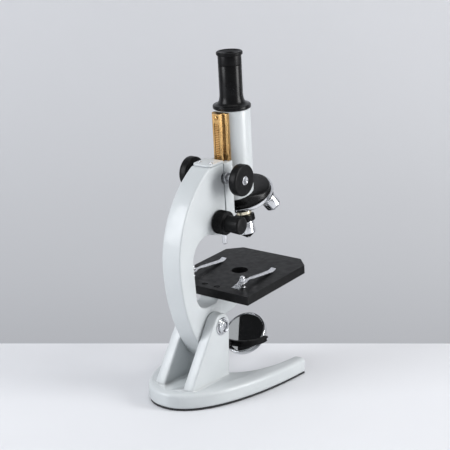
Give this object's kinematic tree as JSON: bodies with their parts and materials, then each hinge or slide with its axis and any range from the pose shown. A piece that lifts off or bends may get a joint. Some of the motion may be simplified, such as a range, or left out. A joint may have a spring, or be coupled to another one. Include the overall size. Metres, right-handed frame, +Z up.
{
  "type": "microscope",
  "caption": "Student monocular microscope with a horseshoe base, tilting C arm, square stage, mirror, rack focus and inclined objective turret.",
  "frame": {"origin": "on the ground under the tilt hinge, on the base's underside", "axes": "+Z up, +Y towards the back of the arm, -Y towards the stage, +X towards the far-side knobs"},
  "size_m": [0.128, 0.1952, 0.3551],
  "materials": {
    "white_paint": "semi-gloss smooth enamel",
    "black_enamel": "satin black enamel",
    "gloss_black": "gloss black enamel",
    "black_plastic": "satin moulded plastic",
    "chrome": "polished plating",
    "steel": "ground bar",
    "brass": "lacquered, machined",
    "lens_glass": "polished, coated",
    "mirror_glass": "silvered",
    "pad": "thin matt sheet"
  },
  "bodies": {
    "base": {"base_casting": "white_paint", "base_pad": "pad", "hinge_bolt": "steel", "hinge_washer_near": "chrome", "hinge_washer_far": "chrome", "hinge_nut_near": "chrome", "hinge_nut_far": "chrome"},
    "arm": {"arm_casting": "white_paint", "arm_cover": "white_paint", "cover_screw_near": "chrome", "cover_screw_far": "chrome", "stage_plate": "black_enamel", "stage_screw_near": "black_enamel", "stage_screw_far": "black_enamel", "clip_post_near": "chrome", "clip_post_far": "chrome", "diaphragm_screw": "chrome"},
    "clip_near": {"clip_near": "chrome"},
    "clip_far": {"clip_far": "chrome"},
    "diaphragm": {"diaphragm_disc": "black_enamel"},
    "focus_block": {"guide_block": "white_paint", "stop_pin": "steel", "pinion_bush_near": "chrome", "pinion_bush_far": "chrome"},
    "coarse_drive": {"pinion_shaft": "steel", "coarse_knob_near": "black_plastic", "coarse_knob_far": "black_plastic", "knob_screw_near": "chrome", "knob_screw_far": "chrome"},
    "fine_drive": {"fine_shaft": "steel", "fine_knob_near": "black_plastic", "fine_knob_far": "black_plastic"},
    "tube": {"body_tube": "white_paint", "dovetail_slide": "brass", "rack": "brass", "slide_screw": "brass", "drawtube": "gloss_black", "nosepiece_dome": "gloss_black"},
    "eyepiece": {"eyepiece_barrel": "black_plastic", "eyepiece_cap": "black_plastic", "eye_lens": "lens_glass", "field_lens": "lens_glass"},
    "turret": {"turret_rim": "chrome", "turret_plate": "black_enamel", "turret_bolt": "chrome", "objective_a_collar": "black_plastic", "objective_a_sleeve": "chrome", "objective_a_lens": "lens_glass", "objective_b_collar": "black_plastic", "objective_b_sleeve": "chrome", "objective_b_lens": "lens_glass", "objective_c_collar": "black_plastic", "objective_c_sleeve": "chrome", "objective_c_lens": "lens_glass"},
    "mirror_fork": {"mirror_yoke": "black_enamel"},
    "mirror": {"mirror_cell": "chrome", "mirror_plane": "mirror_glass", "mirror_concave": "mirror_glass"}
  },
  "joints": [
    {"name": "arm_tilt", "type": "hinge", "parent": "base", "child": "arm", "pos_m": [0, 0, 0.075], "axis": [-1, 0, 0], "range_deg": [-4.7, 45]},
    {"name": "fine_slide", "type": "slide", "parent": "arm", "child": "focus_block", "axis": [0, 0.0819, 0.9966], "range_m": [-0.001, 0.001]},
    {"name": "fine_turn", "type": "hinge", "parent": "arm", "child": "fine_drive", "pos_m": [0, -0.01067, 0.18324], "axis": [1, 0, 0], "range_deg": [-92, 92]},
    {"name": "coarse_slide", "type": "slide", "parent": "focus_block", "child": "tube", "axis": [0, 0.0819, 0.9966], "range_m": [-0.0235, 0.025]},
    {"name": "coarse_turn", "type": "hinge", "parent": "focus_block", "child": "coarse_drive", "pos_m": [0, -0.02309, 0.2274], "axis": [-1, 0, 0], "range_deg": [-322, 343]},
    {"name": "eyepiece_lift", "type": "slide", "parent": "tube", "child": "eyepiece", "axis": [0, 0.0819, 0.9966], "range_m": [0, 0.022]},
    {"name": "turret_turn", "type": "hinge", "parent": "tube", "child": "turret", "pos_m": [0, -0.0755, 0.1977], "axis": [0, -0.4648, -0.8854], "continuous": true},
    {"name": "clip_near_swing", "type": "hinge", "parent": "arm", "child": "clip_near", "pos_m": [-0.033, -0.02496, 0.11317], "axis": [0, -0.0819, -0.9966], "range_deg": [-25, 60]},
    {"name": "clip_far_swing", "type": "hinge", "parent": "arm", "child": "clip_far", "pos_m": [0.033, -0.02496, 0.11317], "axis": [0, 0.0819, 0.9966], "range_deg": [-25, 60]},
    {"name": "diaphragm_turn", "type": "hinge", "parent": "arm", "child": "diaphragm", "pos_m": [0, -0.07872, 0.10605], "axis": [0, 0.0819, 0.9966], "continuous": true},
    {"name": "mirror_swing", "type": "hinge", "parent": "arm", "child": "mirror_fork", "pos_m": [0, -0.03061, 0.04441], "axis": [0, 0.9966, -0.0819], "range_deg": [-30, 30]},
    {"name": "mirror_turn", "type": "hinge", "parent": "mirror_fork", "child": "mirror", "pos_m": [0, -0.07512, 0.04004], "axis": [1, 0, 0], "continuous": true}
  ],
  "couplings": [
    {"joint": "coarse_turn", "follows": "coarse_slide", "rad_per_m": 238.1},
    {"joint": "fine_turn", "follows": "fine_slide", "rad_per_m": 1570.8}
  ]
}
